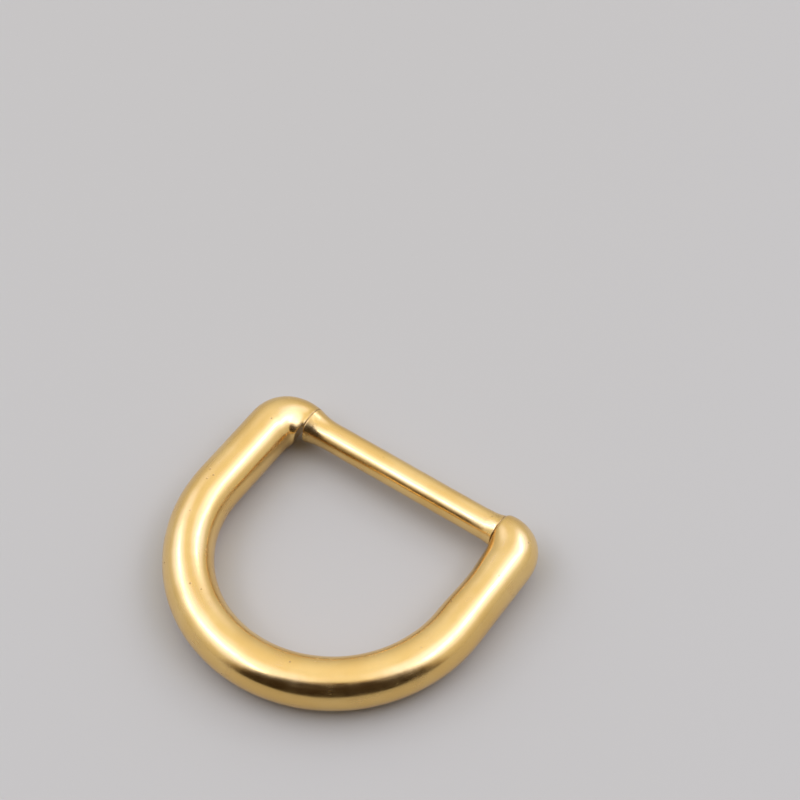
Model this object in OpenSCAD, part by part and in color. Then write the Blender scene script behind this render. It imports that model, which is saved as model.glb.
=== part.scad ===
// A cast D ring: a thick round wire bent to a half round bow with two straight
// arms, and a thinner straight bar that closes it across the open end.
// It lies flat with the bow towards -Y and the bar towards +Y, its underside at
// Z = 0. Millimetres, +Z up.

/* [Opening] */
// Clear width between the two arms
inside_width = 26; // [18:0.5:60]
// Length of each straight arm between the bow and the corner bend
arm_length = 9.7; // [3:0.1:30]

/* [Wire] */
// Diameter of the round wire of the bow, the arms and the corners
wire_diameter = 5.6; // [5.2:0.1:9]
// Radius of the corner bend, measured to the middle of the wire
bend_radius = 2.1; // [1.2:0.1:2.5]

/* [Wire ends] */
// How far the end of the wire stands into the opening past the arm
end_overhang = 0.2; // [0.1:0.1:1]
// Radius that rounds the edge of the wire's end
end_rounding = 0.9; // [0.4:0.1:1.4]

/* [Bar] */
// Diameter of the bar along its middle
bar_diameter = 3.3; // [2.4:0.1:3.8]
// How much wider than the bar its feet are, all round, where they meet the wire
foot_flare = 0.25; // [0.1:0.05:0.5]
// Length over which each foot tapers down to the plain bar
foot_length = 4; // [2:0.1:7]
// How far the feet lie below the outer side of the wire
bar_inset = 0.4; // [0.2:0.05:0.6]

/* [Hidden] */
$fn = 96;
brass = [0.80, 0.62, 0.30];
wire_radius = wire_diameter / 2;
bar_radius = bar_diameter / 2;
foot_radius = bar_radius + foot_flare;
// Radius of the bow, which is also the distance of each arm from the middle
bow_radius = inside_width / 2 + wire_radius;
// Axis of the corner bend on the +X side, counted from the bow's centre, and the
// outer side of the wire past the bend
corner_x = bow_radius - bend_radius;
outer_y = arm_length + bend_radius + wire_radius;
bar_y = outer_y - bar_inset - foot_radius;
// Middle of the face at the wire's end, and the straight wire in front of it
seam_x = inside_width / 2 - end_overhang;
end_length = corner_x - seam_x;
// The edge can't be rounded further back than the wire is straight
edge_radius = min(end_rounding, end_length);
// Radius of the hollow curve that runs each foot into the bar
foot_curve = (pow(foot_length, 2) + pow(foot_flare, 2)) / (2 * foot_flare);

// The half round bow, about the ring's own centre
module bow() {
    rotate([0, 0, 180])
        rotate_extrude(angle = 180)
            translate([bow_radius, 0])
                circle(r = wire_radius);
}

// The straight arm on the +X side
module arm() {
    translate([bow_radius, 0, 0])
        rotate([-90, 0, 0])
            cylinder(r = wire_radius, h = arm_length);
}

// Profile of the corner's wire, kept on its own side of the bend's axis
module corner_profile() {
    intersection() {
        translate([bend_radius, 0])
            circle(r = wire_radius);
        translate([0, -wire_diameter])
            square([bend_radius + wire_diameter, 2 * wire_diameter]);
    }
}

// The corner bend on the +X side, from the arm round to the bar's direction
module corner() {
    translate([corner_x, arm_length, 0])
        rotate_extrude(angle = 90)
            corner_profile();
}

// Profile of the last stretch of wire about its own axis, its far edge rounded
module end_profile() {
    edge_r = wire_radius - edge_radius;
    edge_x = end_length - edge_radius;
    intersection() {
        square([wire_radius, end_length]);
        union() {
            translate([edge_r, edge_x])
                circle(r = edge_radius);
            square([edge_r, end_length]);
            translate([0, -wire_radius])
                square([wire_radius, edge_x + wire_radius]);
        }
    }
}

// The last stretch of wire on the +X side, past the corner bend
module wire_end() {
    translate([corner_x, arm_length + bend_radius, 0])
        rotate([0, -90, 0])
            rotate_extrude()
                end_profile();
}

// Profile of half the bar about its own axis, from the middle of the ring to the
// inside of the corner. The hollow curve of the foot is a short piece of a large
// circle, so that circle is drawn finer than the rest
module bar_profile() {
    foot_start = seam_x - foot_length;
    square([bar_radius, foot_start]);
    translate([0, foot_start])
        difference() {
            square([foot_radius, foot_length]);
            translate([bar_radius + foot_curve, 0])
                circle(r = foot_curve, $fn = 720);
        }
    translate([0, seam_x])
        square([foot_radius, end_length]);
}

// Half of the bar on the +X side, with its flared foot running into the corner
module half_bar() {
    translate([0, bar_y, 0])
        rotate([0, 90, 0])
            rotate_extrude()
                bar_profile();
}

// The whole ring, cast in one piece
module d_ring() {
    color(brass)
        translate([0, (bow_radius + wire_radius - outer_y) / 2, wire_radius]) {
            bow();
            for (side = [0, 1])
                mirror([side, 0, 0]) {
                    arm();
                    corner();
                    wire_end();
                    half_bar();
                }
        }
}

d_ring();
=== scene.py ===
"""Looks of the cast brass D ring: a fine mesh of the ring, its brass, the floor,
the lights and the camera. The shape's code counts in millimetres from the middle of
the bow's half circle, with y towards the bar and z up; place() turns that into the
row frame in metres."""

import math

import bpy
import numpy as np
from mathutils import Matrix, Vector


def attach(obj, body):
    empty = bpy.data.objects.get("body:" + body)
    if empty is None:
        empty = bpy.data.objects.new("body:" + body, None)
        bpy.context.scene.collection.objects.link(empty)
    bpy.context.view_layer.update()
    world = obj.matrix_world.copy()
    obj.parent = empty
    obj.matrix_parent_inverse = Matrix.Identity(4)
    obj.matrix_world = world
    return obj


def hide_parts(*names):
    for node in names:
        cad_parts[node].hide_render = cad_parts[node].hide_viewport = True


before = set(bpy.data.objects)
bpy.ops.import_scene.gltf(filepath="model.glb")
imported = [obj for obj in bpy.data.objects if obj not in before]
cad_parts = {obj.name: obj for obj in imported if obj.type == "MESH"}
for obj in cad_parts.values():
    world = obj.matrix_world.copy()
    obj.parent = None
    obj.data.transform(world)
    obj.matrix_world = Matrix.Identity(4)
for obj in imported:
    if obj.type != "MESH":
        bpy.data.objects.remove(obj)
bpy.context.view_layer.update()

# The ring's sizes, as in part.scad
WIRE_RADIUS = 2.8
BOW_RADIUS = 15.8
ARM_LENGTH = 9.7
BEND_RADIUS = 2.1
BAR_RADIUS = 1.65
BAR_Y = 12.3
CORNER_X = BOW_RADIUS - BEND_RADIUS
OUTER_X = BOW_RADIUS + WIRE_RADIUS
INNER_X = BOW_RADIUS - WIRE_RADIUS
OUTER_Y = ARM_LENGTH + BEND_RADIUS + WIRE_RADIUS
# Where the middle of the bow lies in the row frame
BOW_CENTRE = np.array([0.0, 2.0, 2.8])

# The two ends of the wire and the bar's feet, as the photograph shows them: first
# the end near the camera, then the far one
ENDS = {
    "side": (1, -1),  # the side of x that it lies on
    "seam": (12.82, 12.25),  # x of the seam between the wire and the foot
    "outer": (14.48, 14.45),  # y of the wire's outer edge at the seam
    "inner": (10.46, 10.22),  # y of its inner edge there
    "turn_in": (9.5, 9.55),  # y round which the inner edge turns
    "height": (2.08, 1.98),  # half the wire's height at the seam
    "narrowing": (2.6, 2.4),  # how late the wire loses height, as a power of the turn
    "late": (0.0, 0.9),  # how much of that loss comes over LATE_TURN instead
    "waist": (0.27, 0.0),  # how much slimmer the arm is on its inner side
    "bulge": (0.08, 0.0),  # how much fuller the bend is on its outer side
    "shoulder": (0.0, 0.2),  # how much fuller it is on its upper inner side
    "cut": (3.3, 0.55),  # how far from its middle the lower inner side is cut off
    "edge": (0.5, 0.16),  # how far from the seam the wire begins to round down
    "foot": (3.5, 2.8),  # how long the foot is
    "flare": (0.12, 0.42),  # how much it widens over its length
    "fillet": (0.2, 0.0),  # how much more it widens over FILLET_LENGTH
    "foot_out": (0.03, 0.06),  # how far outward its middle moves
    "groove": (0.06, 0.07),  # how deep the seam is
    "foot_edge": (0.16, 0.14),  # how far from the seam the foot begins to round down
}
NEAR_END, FAR_END = ({name: pair[k] for name, pair in ENDS.items()} for k in (0, 1))
FILLET_LENGTH = 1.4
# Where along the arms the wire begins to turn, and where an arm's waist ends
BEND_START, WAIST_END = 8.2, 10.0
# The part of the turn, in degrees, over which the far end loses most of its height
LATE_TURN = (24, 86)
# The shoulder: its part of the turn, its place round the section and its width there
SHOULDER_TURN, SHOULDER_AT, SHOULDER_WIDTH = (38, 90), math.radians(152), 0.42
# The cut: how far off it leaves a section whole, the part of the turn over which it
# deepens, how steeply it faces down in degrees, and how softly it ends
CUT_FREE, CUT_TURN, CUT_FACING, CUT_SOFT = 3.3, (36, 82), 35, 0.3

# The edge curves of an end: their points, how far they run on past both ends of the
# corner, and how far their changes of bend are spread
CURVE_POINTS, STRAIGHT_POINTS, CURVE_STEP = 300, 60, 0.02
RUN_ON = 3.0
OUTER_SPREAD, INNER_SPREAD = 0.45, 0.2

# How finely the ring is meshed, and how much closer its rings are at the seams
AROUND = 128
BOW_RINGS = 84
ARM_RINGS = 16
FAN_RINGS = 84
FOOT_RINGS = 40
BAR_RINGS = 34
CROWDING = 1.7

# The slight unevenness that hand polishing leaves: waves of many lengths and ways
WAVES, WAVE_SEED = 16, 11
WAVE_SHORT, WAVE_LONG = 3.0, 9.0
WAVE_DEPTH = 0.012

# The map for the bake: three strips of metal above each other, in millimetres. They
# are the wire up to the near seam, the bar, and the rest of the wire
STRIP_LOW = (0.0, 18.2, 29.4)
STRIP_GIRTH = (17.6, 10.6, 17.6)
MAP_MARGIN = 0.3
MAP_SIZE = 48.0
# How far apart the polishing lines of the strips are taken from their noise
FLOW_SHIFT = 60.0

# Marks at the seams: how far each reaches onto the wire and onto the bar. Only
# points with a y above MARKS_FROM have any; the others count as NO_SEAM away
SEAM_MARKS = (("crease", 0.09, 0.09), ("solder", 0.35, 1.3))
MARKS_FROM, NO_SEAM = 8.0, 99.0

# Where the dark side of the studio stands, as an azimuth and elevation in degrees
DARK_SIDE = (146, -3)
# Soft glows round the softboxes: azimuth, elevation, the angles from their middle at
# which they begin and are full, and how much light they add
GLOWS = (
    (-146, 53, 32, 13, 0.56),
    (-94, 43, 32, 13, 0.5),
    (64, 54, 32, 13, 0.56),
    (18, 40, 32, 13, 0.5),
)
# Softboxes: name, azimuth, elevation, height in metres and power in watts
SOFTBOXES = (
    ("left_softbox", -142, 52, 0.12, 0.36),
    ("left_low_softbox", -98, 43, 0.12, 0.33),
    ("right_softbox", 62, 53, 0.13, 0.39),
    ("right_low_softbox", 20, 41, 0.12, 0.34),
)
SOFTBOX_AWAY, SOFTBOX_WIDTH = 0.7, 0.38
SOFTBOX_COLOR = (0.95, 1.0, 1.3)
BROWN, WARM_WHITE = (1.0, 0.66, 0.38, 1), (1.0, 0.985, 0.955, 1)
COOL_WHITE = (0.9, 1.0, 1.62, 1)
# Half the floor's width in metres
FLOOR_HALF = 2.0

# The camera, found from the outlines in the photograph: its place in the row frame in
# metres, the azimuth and elevation it looks from in radians, and its lens
CAMERA_AT = (0.0717834, -0.0892399, 0.1827249)
CAMERA_AZIMUTH, CAMERA_ELEVATION = 0.6073074, 0.9214535
CAMERA_LENS, CAMERA_SENSOR = 89.538, 36


def softened(points, spread):
    """The curve in even steps, its changes of bend spread over a short way."""
    points = np.array(points, float)
    along = np.r_[0, np.cumsum(np.linalg.norm(np.diff(points, axis=0), axis=1))]
    even = np.arange(0, along[-1], CURVE_STEP)
    half = int(4 * spread / CURVE_STEP)
    weight = np.exp(-0.5 * (np.arange(-half, half + 1) * CURVE_STEP / spread) ** 2)
    weight /= weight.sum()
    return np.stack([
        np.convolve(np.interp(even, along, points[:, k]), weight, "valid") for k in (0, 1)
    ], 1)


def inner_edge(end, y):
    """The arm's inner edge, slimmer half way along on the near side."""
    t = np.clip(np.asarray(y, float) / WAIST_END, 0, 1)
    return INNER_X + end["waist"] * np.sin(math.pi * t) ** 2


def fan_edges(end):
    """The wire's outer and inner edge from the arm round the corner to the seam."""
    seam = end["seam"]
    t = np.linspace(0, 1, CURVE_POINTS)
    turn = t * math.pi / 2
    bend = BEND_RADIUS + WIRE_RADIUS + end["bulge"] * np.sin(math.pi * t) ** 2
    drop = OUTER_Y - end["outer"]
    outer = [(OUTER_X, BEND_START - RUN_ON)]
    outer += zip(CORNER_X + bend * np.cos(turn), ARM_LENGTH + bend * np.sin(turn))
    outer += [(CORNER_X + (seam - CORNER_X) * k, OUTER_Y - drop * k * k) for k in t[1:]]
    outer.append((seam - RUN_ON, end["outer"] - RUN_ON * 2 * drop / (CORNER_X - seam)))

    straight = np.linspace(BEND_START - RUN_ON, BEND_START, STRAIGHT_POINTS)
    inner = list(zip(inner_edge(end, straight), straight))
    first, last = np.array(inner[-1]), np.array([seam, end["inner"]])
    knee = np.array([inner_edge(end, end["turn_in"]), end["turn_in"]])
    inner += [(1 - k) ** 2 * first + 2 * k * (1 - k) * knee + k * k * last for k in t[1:]]
    inner.append(last + (last - knee) / np.linalg.norm(last - knee) * RUN_ON)

    share = 1 - (1 - np.linspace(0, 1, FAN_RINGS)) ** CROWDING
    edges = []
    for curve in (softened(outer, OUTER_SPREAD), softened(inner, INNER_SPREAD)):
        length = np.r_[0, np.cumsum(np.hypot(*np.diff(curve, axis=0).T))]
        # The arm's end and the seam are each looked for near one end of the curve
        near_start = length < 1.5 * RUN_ON
        near_seam = length > length[-1] - 1.3 * RUN_ON
        first = np.interp(BEND_START, curve[near_start, 1], length[near_start])
        last = np.interp(-seam, -curve[near_seam, 0], length[near_seam])
        at = first + (last - first) * share
        edges.append(np.stack([np.interp(at, length, curve[:, k]) for k in (0, 1)], 1))
    return edges


def eased(value, low, high):
    """0 below low, 1 above high and a smooth rise between."""
    t = np.clip((value - low) / (high - low), 0, 1)
    return t * t * (3 - 2 * t)


def bell(value, low, high):
    """A smooth hump from low to high, 1 in the middle."""
    t = np.clip((value - low) / (high - low), 0, 1)
    return math.sin(math.pi * t) ** 2


def oval(middle, out, half_out, half_up, turn):
    """Points around a section; turn 0 is outward and a quarter turn is up."""
    flat = middle + np.outer(half_out * np.cos(turn), (*out, 0.0))
    return flat + np.outer(half_up * np.sin(turn), (0.0, 0.0, 1.0))


def cut_off(ring, middle, out, limit):
    """The section with its lower inner side cut off at a distance from its middle."""
    facing = math.radians(CUT_FACING)
    sideways = math.cos(facing)
    way = np.array([-out[0] * sideways, -out[1] * sideways, -math.sin(facing)])
    reach = (ring - middle) @ way
    blend = np.maximum(CUT_SOFT - np.abs(reach - limit), 0) / CUT_SOFT
    kept = np.minimum(reach, limit) - blend * blend * CUT_SOFT / 4
    return ring + np.outer(kept - reach, way)


def end_rings(end, turn):
    """Rings from the arm's last one round the corner, over the seam and along the foot."""
    seam = end["seam"]
    upper_inner = np.exp(-((np.mod(turn, 2 * math.pi) - SHOULDER_AT) / SHOULDER_WIDTH) ** 2)
    wire = []
    for far, close in zip(*fan_edges(end)):
        half = math.dist(far, close) / 2
        out = (far - close) / (2 * half)
        angle = math.atan2(out[1], out[0])
        degrees = math.degrees(angle)
        middle = np.array([*(far + close) / 2, 0])
        early = max(angle / (math.pi / 2), 0) ** end["narrowing"]
        late = eased(degrees, *LATE_TURN)
        lost = early + (late - early) * end["late"]
        up = WIRE_RADIUS - (WIRE_RADIUS - end["height"]) * lost
        ring = oval(middle, out, half, up, turn)
        inward = middle - ring
        inward /= np.linalg.norm(inward, axis=1)[:, None]
        fuller = end["shoulder"] * bell(degrees, *SHOULDER_TURN) * upper_inner
        ring = ring - inward * fuller[:, None]
        cut_at = CUT_FREE - (CUT_FREE - end["cut"]) * eased(degrees, *CUT_TURN)
        wire.append(cut_off(ring, middle, out, cut_at))

    foot = []
    for past in end["foot"] * np.linspace(0, 1, FOOT_RINGS) ** 2:
        rise = (1 - past / end["foot"]) ** 2
        short_rise = np.clip(1 - past / FILLET_LENGTH, 0, 1) ** 2
        radius = BAR_RADIUS + end["flare"] * rise + end["fillet"] * short_rise
        middle = np.array([seam - past, BAR_Y + end["foot_out"] * rise, 0])
        foot.append(oval(middle, (0, 1), radius, radius, turn))

    # The groove at the seam, where both sides round down to one line
    middle = np.array([seam, BAR_Y + end["foot_out"], 0])
    way = wire[-1] - middle
    wire_out = np.linalg.norm(way, axis=1)
    foot_out = np.linalg.norm(foot[0] - middle, axis=1)
    way /= wire_out[:, None]
    groove = middle + way * (np.minimum(wire_out, foot_out) - end["groove"])[:, None]
    sides = ((wire, wire[-1], end["edge"]), (foot, foot[0], end["foot_edge"]))
    for rings, at_seam, edge in sides:
        for k, ring in enumerate(rings):
            gone = np.clip(np.abs(ring[:, 0] - seam) / edge, 0, 1)
            rings[k] = ring + (groove - at_seam) * (1 - np.sqrt(1 - (1 - gone) ** 2))[:, None]
    return np.array(wire + foot[1:]) * (end["side"], 1, 1)


def arm_rings(end, turn):
    """Rings along the straight arm, on the side where x is positive."""
    along = np.linspace(0, BEND_START, ARM_RINGS)[1:-1]
    return np.array([
        oval(np.array([(OUTER_X + x) / 2, y, 0]), (1, 0), (OUTER_X - x) / 2, WIRE_RADIUS, turn)
        for x, y in zip(inner_edge(end, along), along)
    ])


def ring_grid():
    """Points of the ring as sections times points around each, from the middle of
    the bow over the near corner and the bar back to the middle of the bow. With it
    come the turns of a section's points and the places of the seams."""
    turn = np.arange(AROUND) * 2 * math.pi / AROUND - math.pi / 2
    bow = []
    for angle in np.linspace(-math.pi / 2, 0, BOW_RINGS):
        out = np.array([math.cos(angle), math.sin(angle)])
        middle = np.array([*BOW_RADIUS * out, 0])
        bow.append(oval(middle, out, WIRE_RADIUS, WIRE_RADIUS, turn))
    bow = np.array(bow)
    near_arm, far_arm = arm_rings(NEAR_END, turn), arm_rings(FAR_END, turn)
    near, far = end_rings(NEAR_END, turn), end_rings(FAR_END, turn)
    bar = np.array([
        oval(np.array([x, BAR_Y, 0]), (0, 1), BAR_RADIUS, BAR_RADIUS, turn)
        for x in np.linspace(near[-1][:, 0].mean(), far[-1][:, 0].mean(), BAR_RINGS)
    ])[1:-1]
    mirror = np.array([-1, 1, 1])
    last_half = [far[::-1], far_arm[::-1] * mirror, bow[1:-1][::-1] * mirror]
    before = len(bow) + len(near_arm)
    seams = (before + FAN_RINGS - 1, before + len(near) + len(bar) + len(far) - FAN_RINGS)
    return np.concatenate([bow, near_arm, near, bar, *last_half]), turn, seams


def outward(grid):
    """Straight out of the surface at each point of the grid."""
    along = np.roll(grid, -1, 0) - np.roll(grid, 1, 0)
    around = np.roll(grid, -1, 1) - np.roll(grid, 1, 1)
    out = np.cross(along, around)
    return out / np.linalg.norm(out, axis=2)[:, :, None]


def hand_finish(points, out):
    """The points, lowered a little and unevenly as polishing by hand leaves them."""
    random = np.random.default_rng(WAVE_SEED)
    wave = np.zeros(points.shape[:2])
    for _ in range(WAVES):
        way = random.normal(size=3)
        way *= 2 * math.pi / (random.uniform(WAVE_SHORT, WAVE_LONG) * np.linalg.norm(way))
        wave += np.sin(points @ way + random.uniform(0, 2 * math.pi))
    return points - out * (WAVE_DEPTH * (1 + 2 * wave / WAVES).clip(0, 2))[:, :, None]


def place(points):
    """From the shape's millimetres to the row frame in metres."""
    return (points + BOW_CENTRE) / 1000


def build_ring():
    """The ring as one closed mesh of quads, with its map for the bake and the values
    that its brass reads: flow runs along and around the metal, crease and solder
    mark the seams."""
    grid, turn, seams = ring_grid()
    grid = hand_finish(grid, outward(grid))
    rings = len(grid)
    i, j = np.meshgrid(np.arange(rings), np.arange(AROUND), indexing="ij")
    here, after = i * AROUND, (i + 1) % rings * AROUND
    turned = (j + 1) % AROUND
    quads = np.stack([here + j, after + j, after + turned, here + turned], -1).reshape(-1, 4)
    mesh = bpy.data.meshes.new("ring_body")
    mesh.from_pydata(place(grid.reshape(-1, 3)).tolist(), [], quads.tolist())
    mesh.polygons.foreach_set("use_smooth", np.ones(len(quads), bool))

    strip = np.digitize(np.arange(rings), seams)
    middles = grid.mean(1)
    step = np.linalg.norm(np.roll(middles, -1, 0) - middles, axis=1)
    along = np.r_[0, np.cumsum(step)]
    begins = along[[0, *seams]][strip]
    back, front = along[:-1] - begins, along[1:] - begins
    low, wide = np.array(STRIP_LOW)[strip], np.array(STRIP_GIRTH)[strip]
    u = np.stack([back, front, front, back], 1)[:, None, :] + MAP_MARGIN
    v = np.stack([j, j, j + 1, j + 1], -1) / AROUND
    v = v * wide[:, None, None] + low[:, None, None] + MAP_MARGIN
    flat = np.stack([np.broadcast_to(u, v.shape), v], -1) / MAP_SIZE
    mesh.uv_layers.new(name="OFBake").data.foreach_set("uv", flat.ravel())

    radius = np.array([WIRE_RADIUS, BAR_RADIUS, WIRE_RADIUS])[strip][:, None]
    flow = np.stack([
        np.broadcast_to((back + FLOW_SHIFT * strip)[:, None], i.shape),
        radius * np.cos(turn),
        radius * np.sin(turn),
    ], -1)
    mesh.attributes.new("flow", "FLOAT_VECTOR", "POINT").data.foreach_set("vector", flow.ravel())
    x, y = grid[:, :, 0], grid[:, :, 1]
    seam = np.where(x > 0, NEAR_END["seam"], FAR_END["seam"])
    beyond = np.where(y > MARKS_FROM, np.abs(x) - seam, NO_SEAM)
    for name, on_wire, on_bar in SEAM_MARKS:
        reach = np.where(beyond > 0, on_wire, on_bar)
        mark = np.exp(-(beyond / reach) ** 2)
        mesh.attributes.new(name, "FLOAT", "POINT").data.foreach_set("value", mark.ravel())
    mesh.update()
    piece = bpy.data.objects.new("ring_body", mesh)
    bpy.context.scene.collection.objects.link(piece)
    return piece


class Shading:
    """The nodes of a material or world. Wherever a node takes a value, it also takes
    another node's output."""

    def __init__(self, owner):
        owner.use_nodes = True
        self.nodes, self.links = owner.node_tree.nodes, owner.node_tree.links

    def feed(self, value, socket):
        """Gives an input its value, or links it to the output that stands for it."""
        if isinstance(value, bpy.types.NodeSocket):
            self.links.new(value, socket)
        else:
            socket.default_value = value

    def node(self, kind, output, settings, inputs):
        """Adds a node and gives back one output. Inputs go by name or by number."""
        made = self.nodes.new(kind)
        for name, value in settings.items():
            setattr(made, name, value)
        for which, value in inputs.items():
            self.feed(value, made.inputs[which])
        return made.outputs[output]

    def coordinates(self, which):
        return self.node("ShaderNodeTexCoord", which, {}, {})

    def attribute(self, name, output):
        return self.node("ShaderNodeAttribute", output, {"attribute_name": name}, {})

    def math_of(self, what, *values):
        inputs = dict(enumerate(values))
        return self.node("ShaderNodeMath", "Value", {"operation": what}, inputs)

    def vector(self, what, *values, output="Vector"):
        inputs = dict(enumerate(values))
        return self.node("ShaderNodeVectorMath", output, {"operation": what}, inputs)

    def noise(self, where, scale, detail=2.0):
        inputs = {"Vector": where, "Scale": scale, "Detail": detail}
        return self.node("ShaderNodeTexNoise", "Fac", {}, inputs)

    def spread(self, value, low, high, to_low, to_high, how="SMOOTHSTEP"):
        """The value moved from one range to another, and held at the ends."""
        inputs = {"Value": value, "From Min": low, "From Max": high,
                  "To Min": to_low, "To Max": to_high}
        settings = {"interpolation_type": how}
        return self.node("ShaderNodeMapRange", "Result", settings, inputs)

    def mixed(self, share, first, second):
        """A colour between two; a colour mix has its own inputs 6 and 7 and output 2."""
        inputs = {0: share, 6: first, 7: second}
        return self.node("ShaderNodeMix", 2, {"data_type": "RGBA"}, inputs)

    def bumped(self, height, deep, under=None):
        """The surface's direction with a relief of this depth in metres."""
        inputs = {"Height": height, "Distance": deep, "Strength": 1.0}
        if under:
            inputs["Normal"] = under
        return self.node("ShaderNodeBump", "Normal", {}, inputs)


def brass_material():
    """Polished cast brass: uneven tone, smudges, fine polishing lines, small pits
    and a little tarnish in the grooves at the seams."""
    material = bpy.data.materials.new("polished_brass")
    on = Shading(material)
    shader = on.nodes["Principled BSDF"].inputs
    shader["Metallic"].default_value = 1.0

    # Both in millimetres, so a noise's scale is its detail per millimetre
    at = on.node("ShaderNodeVectorMath", "Vector", {"operation": "SCALE"},
                 {0: on.coordinates("Object"), "Scale": 1000.0})
    flow = on.attribute("flow", "Vector")
    crease, solder = on.attribute("crease", "Fac"), on.attribute("solder", "Fac")

    patches = on.noise(at, 0.17, 3.0)
    smudges = on.noise(at, 0.42, 5.0)
    grain = on.noise(at, 1.7)
    # Polishing lines are long along the metal and narrow around it
    lines = on.noise(on.vector("MULTIPLY", flow, (0.35, 5.0, 5.0)), 1.0, 3.0)
    inputs = {"Vector": at, "Scale": 0.75, "Randomness": 1.0}
    cells = on.node("ShaderNodeTexVoronoi", "Distance", {}, inputs)
    sparse = on.spread(on.noise(at, 0.31), 0.5, 0.62, 0.0, 1.0)
    pits = on.math_of("MULTIPLY", on.spread(cells, 0.05, 0.13, 1.0, 0.0), sparse)
    lumps = on.noise(at, 1.3, 4.0)
    stain = on.math_of("MULTIPLY", solder, on.spread(lumps, 0.45, 0.65, 0.0, 1.0))
    tarnish = on.math_of("MULTIPLY", crease, on.spread(on.noise(at, 0.9), 0.3, 0.6, 0.35, 0.85))

    yellow, golden = (0.90, 0.625, 0.245, 1), (0.85, 0.56, 0.19, 1)
    tone = on.mixed(on.spread(patches, 0.35, 0.65, 0.0, 1.0), yellow, golden)
    tone = on.mixed(on.spread(smudges, 0.5, 0.75, 0.0, 0.45), tone, (0.80, 0.53, 0.20, 1))
    tone = on.mixed(on.math_of("MULTIPLY", pits, 0.55), tone, (0.30, 0.17, 0.06, 1))
    tone = on.mixed(on.math_of("MULTIPLY", stain, 0.6), tone, (0.62, 0.42, 0.15, 1))
    tone = on.mixed(tarnish, tone, (0.22, 0.11, 0.035, 1))
    on.feed(tone, shader["Base Color"])

    rough = on.spread(smudges, 0.3, 0.75, 0.15, 0.25)
    rough = on.math_of("ADD", rough, on.spread(lines, 0.35, 0.7, 0.0, 0.05))
    dirty = on.math_of("MAXIMUM", tarnish, pits)
    for where, rougher in ((dirty, 0.22), (stain, 0.1)):
        rough = on.math_of("ADD", rough, on.math_of("MULTIPLY", where, rougher))
    on.feed(rough, shader["Roughness"])

    relief = on.bumped(smudges, 0.000009)
    relief = on.bumped(grain, 0.0000022, relief)
    relief = on.bumped(lines, 0.0000012, relief)
    relief = on.bumped(on.math_of("SUBTRACT", 1.0, pits), 0.00001, relief)
    relief = on.bumped(on.math_of("MULTIPLY", lumps, solder), 0.00005, relief)
    on.feed(relief, shader["Normal"])
    return material


def floor_material():
    """A plain pale surface, warm enough to look neutral in the studio's cool light."""
    material = bpy.data.materials.new("pale_floor")
    material.use_nodes = True
    shader = material.node_tree.nodes["Principled BSDF"]
    shader.inputs["Base Color"].default_value = (0.482, 0.443, 0.32, 1)
    shader.inputs["Roughness"].default_value = 0.5
    return material


def add_floor():
    """The stage that the ring lies on."""
    h = FLOOR_HALF
    mesh = bpy.data.meshes.new("floor")
    mesh.from_pydata([(-h, -h, 0), (h, -h, 0), (h, h, 0), (-h, h, 0)], [], [(0, 1, 2, 3)])
    mesh.materials.append(floor_material())
    floor = bpy.data.objects.new("floor", mesh)
    bpy.context.scene.collection.objects.link(floor)


def toward(azimuth, elevation):
    """Direction from the ring; azimuth 0 is +Y and 90 is +X, in degrees."""
    a, e = math.radians(azimuth), math.radians(elevation)
    return Vector((math.sin(a) * math.cos(e), math.cos(a) * math.cos(e), math.sin(e)))


def add_softbox(name, azimuth, elevation, height, power):
    """One wide, low lamp, facing the ring."""
    light = bpy.data.lights.new(name, "AREA")
    light.shape = "RECTANGLE"
    light.size, light.size_y = SOFTBOX_WIDTH, height
    light.energy = power
    light.color = SOFTBOX_COLOR
    box = bpy.data.objects.new(name, light)
    direction = toward(azimuth, elevation)
    box.location = direction * SOFTBOX_AWAY
    box.rotation_euler = direction.to_track_quat("Z", "Y").to_euler()
    bpy.context.scene.collection.objects.link(box)


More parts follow.
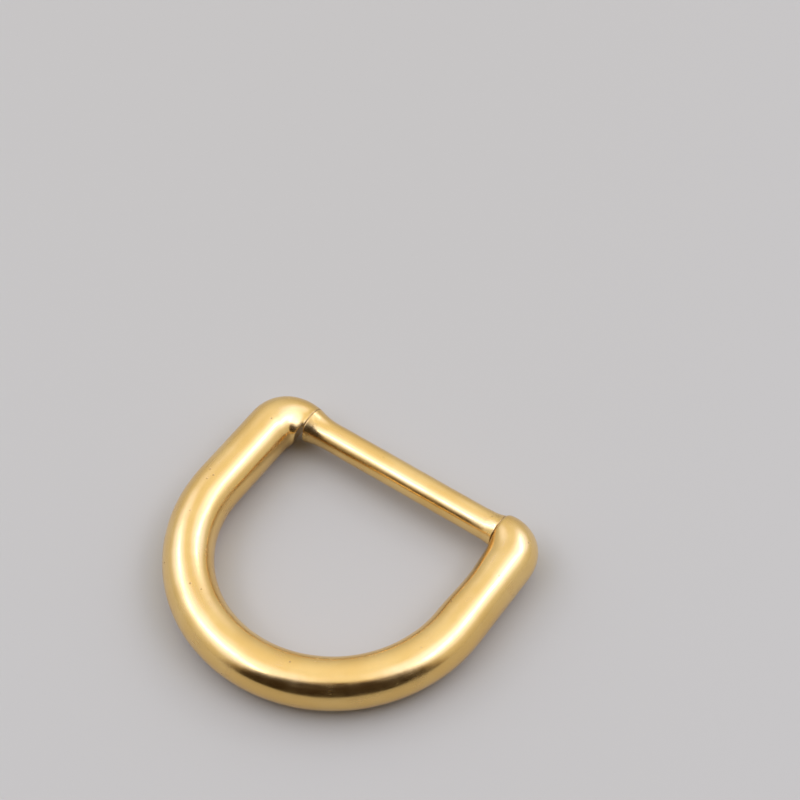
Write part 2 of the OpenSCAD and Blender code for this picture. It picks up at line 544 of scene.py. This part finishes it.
def add_world():
    """A pale studio all round, with one dark side where the camera stands."""
    world = bpy.data.worlds.new("studio")
    bpy.context.scene.world = world
    on = Shading(world)
    way = on.coordinates("Generated")
    # The dark side stands upright, so heights count less than sideways angles
    upright = on.vector("NORMALIZE", on.vector("MULTIPLY", way, (1, 1, 0.7)))
    at_dark = on.vector("DOT_PRODUCT", upright, toward(*DARK_SIDE), output="Value")
    dark = on.spread(at_dark, 0.44, 0.62, 1.0, 0.045)
    # The rest is brighter higher up, and in the glows
    height = on.node("ShaderNodeSeparateXYZ", "Z", {}, {"Vector": way})
    light = on.spread(height, 0.0, 0.9, 0.58, 1.05, "LINEAR")
    cool = 0.0
    for azimuth, elevation, begins, full, gain in GLOWS:
        facing = on.vector("DOT_PRODUCT", way, toward(azimuth, elevation), output="Value")
        low, high = math.cos(math.radians(begins)), math.cos(math.radians(full))
        glow = on.spread(facing, low, high, 0.0, 1.0)
        light = on.math_of("MULTIPLY_ADD", glow, gain, light)
        cool = on.math_of("MAXIMUM", cool, glow)
    background = on.nodes["Background"].inputs
    on.feed(on.math_of("MULTIPLY", dark, light), background["Strength"])
    # Brown in the dark side, a warm white all round and a cooler white in the glows
    on.feed(on.mixed(cool, on.mixed(dark, BROWN, WARM_WHITE), COOL_WHITE), background["Color"])


def add_camera():
    """The photograph's view of the ring, 53 degrees above its plane."""
    a, e = CAMERA_AZIMUTH, CAMERA_ELEVATION
    back = Vector((math.sin(a) * math.cos(e), -math.cos(a) * math.cos(e), math.sin(e)))
    right = Vector((math.cos(a), math.sin(a), 0))
    camera = bpy.data.cameras.new("camera")
    camera.sensor_width = CAMERA_SENSOR
    camera.lens = CAMERA_LENS
    camera.clip_start = 0.01
    camera.clip_end = 10
    view = bpy.data.objects.new("camera", camera)
    bpy.context.scene.collection.objects.link(view)
    turned = Matrix((right, back.cross(right), back)).transposed().to_4x4()
    view.matrix_world = Matrix.Translation(CAMERA_AT) @ turned
    bpy.context.scene.camera = view


ring = build_ring()
ring.data.materials.append(brass_material())
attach(ring, "root")
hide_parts("d_ring")

add_floor()
add_world()
for softbox in SOFTBOXES:
    add_softbox(*softbox)
bpy.context.scene.view_settings.view_transform = "Standard"
add_camera()
